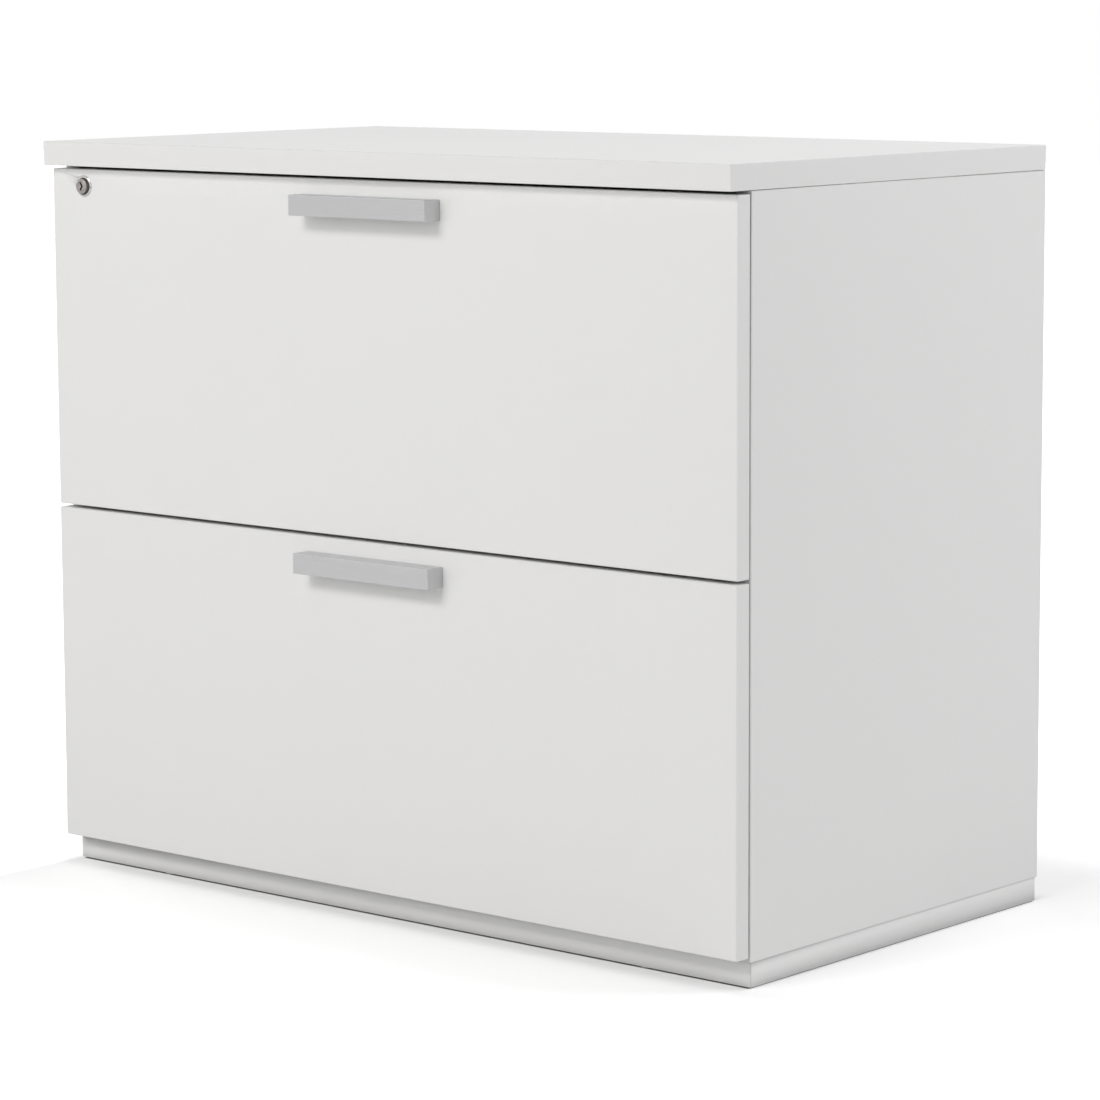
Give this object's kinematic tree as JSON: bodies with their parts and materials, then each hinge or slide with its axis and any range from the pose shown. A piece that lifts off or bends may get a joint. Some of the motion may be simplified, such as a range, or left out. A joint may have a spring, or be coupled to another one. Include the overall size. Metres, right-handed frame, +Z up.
{
  "type": "filing cabinet",
  "caption": "Low wide laminate lateral filing cabinet with full-width drawers on ball slides, bar handles and a front lock that bars the drawers.",
  "frame": {"origin": "on the floor, at the bottom centre of the box round the whole cabinet with its handles, drawers shut", "axes": "+X to the right seen from the front, +Y to the back with the drawer fronts facing -Y, +Z up"},
  "size_m": [0.914, 0.5214, 0.772],
  "materials": {
    "white_laminate": "matt white melamine laminate on particle board, white edge band",
    "carcass_laminate": "light grey melamine laminate on particle board",
    "back_board": "thin white-faced hardboard",
    "box_laminate": "light melamine laminate on thin particle board",
    "handle_metal": "satin silver, fine brushed",
    "zinc_steel": "bright zinc plated steel",
    "ball_steel": "plain steel ball cage with polished balls",
    "file_rail_steel": "black painted steel strip",
    "lock_chrome": "bright chrome plated zinc",
    "lock_nickel": "satin nickel plated brass plug",
    "glide_plastic": "natural moulded nylon"
  },
  "bodies": {
    "cabinet": {"top_panel": "white_laminate", "left_side_panel": "white_laminate", "right_side_panel": "white_laminate", "floor_panel": "carcass_laminate", "back_panel": "back_board", "rear_top_rail": "carcass_laminate", "plinth_left": "white_laminate", "plinth_right": "white_laminate", "plinth_front": "white_laminate", "plinth_rear": "white_laminate", "glide_front_left": "glide_plastic", "glide_front_right": "glide_plastic", "glide_rear_left": "glide_plastic", "glide_rear_right": "glide_plastic", "lock_bar_guide_upper": "zinc_steel", "lock_bar_guide_lower": "zinc_steel", "upper_slide_left_cabinet_member": "zinc_steel", "upper_slide_right_cabinet_member": "zinc_steel", "lower_slide_left_cabinet_member": "zinc_steel", "lower_slide_right_cabinet_member": "zinc_steel"},
    "upper_drawer": {"upper_front": "white_laminate", "upper_handle": "handle_metal", "upper_box_left": "box_laminate", "upper_box_right": "box_laminate", "upper_box_front": "box_laminate", "upper_box_back": "box_laminate", "upper_box_floor": "box_laminate", "upper_file_rail_front": "file_rail_steel", "upper_file_rail_rear": "file_rail_steel", "upper_lock_catch": "zinc_steel", "upper_slide_left_drawer_member": "zinc_steel", "upper_slide_right_drawer_member": "zinc_steel", "lock_housing": "lock_chrome", "lock_nut": "zinc_steel"},
    "lower_drawer": {"lower_front": "white_laminate", "lower_handle": "handle_metal", "lower_box_left": "box_laminate", "lower_box_right": "box_laminate", "lower_box_front": "box_laminate", "lower_box_back": "box_laminate", "lower_box_floor": "box_laminate", "lower_file_rail_front": "file_rail_steel", "lower_file_rail_rear": "file_rail_steel", "lower_lock_catch": "zinc_steel", "lower_slide_left_drawer_member": "zinc_steel", "lower_slide_right_drawer_member": "zinc_steel"},
    "upper_slide_middle": {"upper_slide_left_middle_member": "zinc_steel", "upper_slide_right_middle_member": "zinc_steel"},
    "lower_slide_middle": {"lower_slide_left_middle_member": "zinc_steel", "lower_slide_right_middle_member": "zinc_steel"},
    "upper_outer_cages": {"upper_slide_left_outer_cage": "ball_steel", "upper_slide_right_outer_cage": "ball_steel"},
    "upper_inner_cages": {"upper_slide_left_inner_cage": "ball_steel", "upper_slide_right_inner_cage": "ball_steel"},
    "lower_outer_cages": {"lower_slide_left_outer_cage": "ball_steel", "lower_slide_right_outer_cage": "ball_steel"},
    "lower_inner_cages": {"lower_slide_left_inner_cage": "ball_steel", "lower_slide_right_inner_cage": "ball_steel"},
    "lock_plug": {"lock_plug": "lock_nickel"},
    "lock_bar": {"lock_bar": "zinc_steel"}
  },
  "joints": [
    {"name": "upper_drawer_slide", "type": "slide", "parent": "cabinet", "child": "upper_drawer", "axis": [0, -1, 0], "range_m": [0, 0.44]},
    {"name": "upper_middle_slide", "type": "slide", "parent": "cabinet", "child": "upper_slide_middle", "axis": [0, -1, 0], "range_m": [0, 0.22]},
    {"name": "upper_outer_cage_slide", "type": "slide", "parent": "cabinet", "child": "upper_outer_cages", "axis": [0, -1, 0], "range_m": [0, 0.11]},
    {"name": "upper_inner_cage_slide", "type": "slide", "parent": "cabinet", "child": "upper_inner_cages", "axis": [0, -1, 0], "range_m": [0, 0.33]},
    {"name": "lower_drawer_slide", "type": "slide", "parent": "cabinet", "child": "lower_drawer", "axis": [0, -1, 0], "range_m": [0, 0.44]},
    {"name": "lower_middle_slide", "type": "slide", "parent": "cabinet", "child": "lower_slide_middle", "axis": [0, -1, 0], "range_m": [0, 0.22]},
    {"name": "lower_outer_cage_slide", "type": "slide", "parent": "cabinet", "child": "lower_outer_cages", "axis": [0, -1, 0], "range_m": [0, 0.11]},
    {"name": "lower_inner_cage_slide", "type": "slide", "parent": "cabinet", "child": "lower_inner_cages", "axis": [0, -1, 0], "range_m": [0, 0.33]},
    {"name": "lock_turn", "type": "hinge", "parent": "upper_drawer", "child": "lock_plug", "pos_m": [-0.409, -0.23775, 0.7258], "axis": [0, 1, 0], "range_deg": [0, 90]},
    {"name": "lock_bar_lift", "type": "slide", "parent": "cabinet", "child": "lock_bar", "axis": [0, 0, 1], "range_m": [0, 0.01272]}
  ],
  "couplings": [
    {"joint": "upper_middle_slide", "follows": "upper_drawer_slide", "ratio": 0.5},
    {"joint": "upper_outer_cage_slide", "follows": "upper_drawer_slide", "ratio": 0.25},
    {"joint": "upper_inner_cage_slide", "follows": "upper_drawer_slide", "ratio": 0.75},
    {"joint": "lower_middle_slide", "follows": "lower_drawer_slide", "ratio": 0.5},
    {"joint": "lower_outer_cage_slide", "follows": "lower_drawer_slide", "ratio": 0.25},
    {"joint": "lower_inner_cage_slide", "follows": "lower_drawer_slide", "ratio": 0.75},
    {"joint": "lock_turn", "follows": "lock_bar_lift", "rad_per_m": 123.41}
  ]
}
